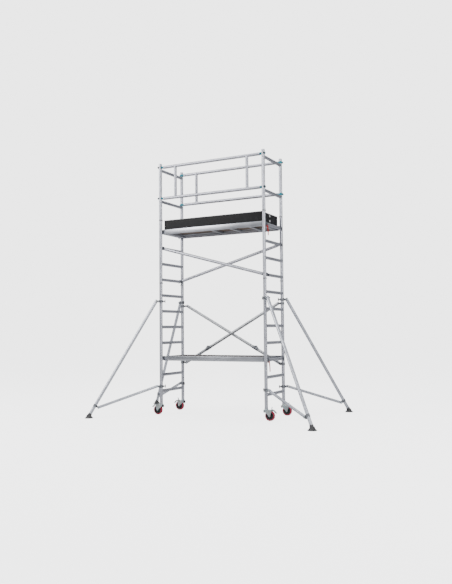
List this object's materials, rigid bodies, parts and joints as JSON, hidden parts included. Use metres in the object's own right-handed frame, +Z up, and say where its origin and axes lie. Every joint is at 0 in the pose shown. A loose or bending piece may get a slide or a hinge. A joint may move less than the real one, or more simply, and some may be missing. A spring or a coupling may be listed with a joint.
{
  "type": "mobile tower scaffold",
  "caption": "Aluminium mobile access tower on braked casters: ladder end frames, platforms with hatch and toe boards, guardrails, cross braces and swing-out stabilisers.",
  "frame": {"origin": "on the floor, at the middle of the tower", "axes": "+X along the platforms, +Y to the rear side that carries the folding brace, +Z up"},
  "size_m": [3.787, 2.3912, 3.98],
  "materials": {
    "aluminium_frame": "satin mill-finish tube, light weld spatter",
    "aluminium_tube": "satin extruded tube",
    "brace_tube": "dull extruded tube",
    "platform_alloy": "satin extruded beams",
    "cast_fittings": "die-cast fittings, sand-blasted",
    "zinc_steel": "bright zinc plate",
    "red_tread": "moulded crimson polyurethane",
    "black_core": "moulded nylon",
    "brake_black": "black powder coat",
    "brake_grey": "grey powder coat",
    "rubber_foot": "moulded black rubber",
    "teal_claw": "teal powder-coated casting",
    "dark_clip": "dark moulded clip",
    "hook_casting": "dark cast hook",
    "deck_board": "film-faced plywood, anti-slip side up",
    "toe_board": "black-faced plywood",
    "hinge_white": "white moulded hinge",
    "red_lever": "red powder coat"
  },
  "bodies": {
    "tower": {"caster_stems": "zinc_steel", "base_frame_left": "aluminium_frame", "base_frame_right": "aluminium_frame", "extension_frame_left": "aluminium_frame", "extension_frame_right": "aluminium_frame", "guard_frame_left": "aluminium_frame", "guard_frame_right": "aluminium_frame", "spigots": "aluminium_frame", "interlock_clips": "dark_clip", "brace_collars": "cast_fittings", "brace_main_arms": "brace_tube", "brace_lower_arms": "brace_tube", "brace_hinges": "cast_fittings", "upper_diagonals": "aluminium_tube", "rail_claws": "teal_claw", "claw_triggers": "dark_clip", "front_guardrail": "aluminium_tube", "rear_guardrail": "aluminium_tube", "lower_platform_frame": "platform_alloy", "lower_platform_deck": "deck_board", "upper_platform_frame": "platform_alloy", "upper_platform_deck": "deck_board", "rung_hooks": "hook_casting", "toe_boards": "toe_board", "toe_board_hinges": "hinge_white"},
    "caster_front_left": {"caster_fork_front_left": "zinc_steel"},
    "wheel_front_left": {"caster_tread_front_left": "red_tread", "caster_core_front_left": "black_core"},
    "pedal_front_left": {"brake_pedal_front_left": "brake_black"},
    "stabiliser_front_left": {"stabiliser_leg_front_left": "aluminium_tube", "stabiliser_arm_front_left": "aluminium_tube", "stabiliser_couplers_front_left": "cast_fittings", "stabiliser_foot_front_left": "rubber_foot"},
    "caster_front_right": {"caster_fork_front_right": "zinc_steel"},
    "wheel_front_right": {"caster_tread_front_right": "red_tread", "caster_core_front_right": "black_core"},
    "pedal_front_right": {"brake_pedal_front_right": "brake_grey"},
    "stabiliser_front_right": {"stabiliser_leg_front_right": "aluminium_tube", "stabiliser_arm_front_right": "aluminium_tube", "stabiliser_couplers_front_right": "cast_fittings", "stabiliser_foot_front_right": "rubber_foot"},
    "caster_rear_left": {"caster_fork_rear_left": "zinc_steel"},
    "wheel_rear_left": {"caster_tread_rear_left": "red_tread", "caster_core_rear_left": "black_core"},
    "pedal_rear_left": {"brake_pedal_rear_left": "brake_black"},
    "stabiliser_rear_left": {"stabiliser_leg_rear_left": "aluminium_tube", "stabiliser_arm_rear_left": "aluminium_tube", "stabiliser_couplers_rear_left": "cast_fittings", "stabiliser_foot_rear_left": "rubber_foot"},
    "caster_rear_right": {"caster_fork_rear_right": "zinc_steel"},
    "wheel_rear_right": {"caster_tread_rear_right": "red_tread", "caster_core_rear_right": "black_core"},
    "pedal_rear_right": {"brake_pedal_rear_right": "brake_grey"},
    "stabiliser_rear_right": {"stabiliser_leg_rear_right": "aluminium_tube", "stabiliser_arm_rear_right": "aluminium_tube", "stabiliser_couplers_rear_right": "cast_fittings", "stabiliser_foot_rear_right": "rubber_foot"},
    "hatch_door": {"trapdoor": "deck_board"},
    "lower_wind_lock": {"wind_lock_lower": "red_lever"},
    "upper_wind_lock": {"wind_lock_upper": "red_lever"}
  },
  "joints": [
    {"name": "swivel_front_left", "type": "hinge", "parent": "tower", "child": "caster_front_left", "pos_m": [-0.9, -0.325, 0.165], "axis": [0, 0, 1], "continuous": true},
    {"name": "roll_front_left", "type": "hinge", "parent": "caster_front_left", "child": "wheel_front_left", "pos_m": [-0.958, -0.325, 0.075], "axis": [0, 1, 0], "continuous": true},
    {"name": "brake_front_left", "type": "hinge", "parent": "caster_front_left", "child": "pedal_front_left", "pos_m": [-0.984, -0.325, 0.15593], "axis": [0, 1, 0], "range_deg": [0, 22]},
    {"name": "swing_front_left", "type": "hinge", "parent": "tower", "child": "stabiliser_front_left", "pos_m": [-0.9, -0.325, 0.44], "axis": [0, 0, 1], "range_deg": [-42, 38]},
    {"name": "swivel_front_right", "type": "hinge", "parent": "tower", "child": "caster_front_right", "pos_m": [0.9, -0.325, 0.165], "axis": [0, 0, 1], "continuous": true},
    {"name": "roll_front_right", "type": "hinge", "parent": "caster_front_right", "child": "wheel_front_right", "pos_m": [0.958, -0.325, 0.075], "axis": [0, 1, 0], "continuous": true},
    {"name": "brake_front_right", "type": "hinge", "parent": "caster_front_right", "child": "pedal_front_right", "pos_m": [0.984, -0.325, 0.15593], "axis": [0, -1, 0], "range_deg": [0, 22]},
    {"name": "swing_front_right", "type": "hinge", "parent": "tower", "child": "stabiliser_front_right", "pos_m": [0.9, -0.325, 0.44], "axis": [0, 0, -1], "range_deg": [-30, 50]},
    {"name": "swivel_rear_left", "type": "hinge", "parent": "tower", "child": "caster_rear_left", "pos_m": [-0.9, 0.325, 0.165], "axis": [0, 0, 1], "continuous": true},
    {"name": "roll_rear_left", "type": "hinge", "parent": "caster_rear_left", "child": "wheel_rear_left", "pos_m": [-0.958, 0.325, 0.075], "axis": [0, 1, 0], "continuous": true},
    {"name": "brake_rear_left", "type": "hinge", "parent": "caster_rear_left", "child": "pedal_rear_left", "pos_m": [-0.984, 0.325, 0.15593], "axis": [0, 1, 0], "range_deg": [0, 22]},
    {"name": "swing_rear_left", "type": "hinge", "parent": "tower", "child": "stabiliser_rear_left", "pos_m": [-0.9, 0.325, 0.44], "axis": [0, 0, -1], "range_deg": [-30, 50]},
    {"name": "swivel_rear_right", "type": "hinge", "parent": "tower", "child": "caster_rear_right", "pos_m": [0.9, 0.325, 0.165], "axis": [0, 0, 1], "continuous": true},
    {"name": "roll_rear_right", "type": "hinge", "parent": "caster_rear_right", "child": "wheel_rear_right", "pos_m": [0.958, 0.325, 0.075], "axis": [0, 1, 0], "continuous": true},
    {"name": "brake_rear_right", "type": "hinge", "parent": "caster_rear_right", "child": "pedal_rear_right", "pos_m": [0.984, 0.325, 0.15593], "axis": [0, -1, 0], "range_deg": [0, 22]},
    {"name": "swing_rear_right", "type": "hinge", "parent": "tower", "child": "stabiliser_rear_right", "pos_m": [0.9, 0.325, 0.44], "axis": [0, 0, 1], "range_deg": [-42, 38]},
    {"name": "hatch_hinge", "type": "hinge", "parent": "tower", "child": "hatch_door", "pos_m": [-0.45, 0.2125, 2.9183], "axis": [-1, 0, 0], "range_deg": [0, 85]},
    {"name": "lower_wind_lock_pivot", "type": "hinge", "parent": "tower", "child": "lower_wind_lock", "pos_m": [0.9305, -0.263, 0.85], "axis": [0, -1, 0], "range_deg": [0, 60]},
    {"name": "upper_wind_lock_pivot", "type": "hinge", "parent": "tower", "child": "upper_wind_lock", "pos_m": [0.9305, -0.263, 2.85], "axis": [0, -1, 0], "range_deg": [0, 60]}
  ]
}
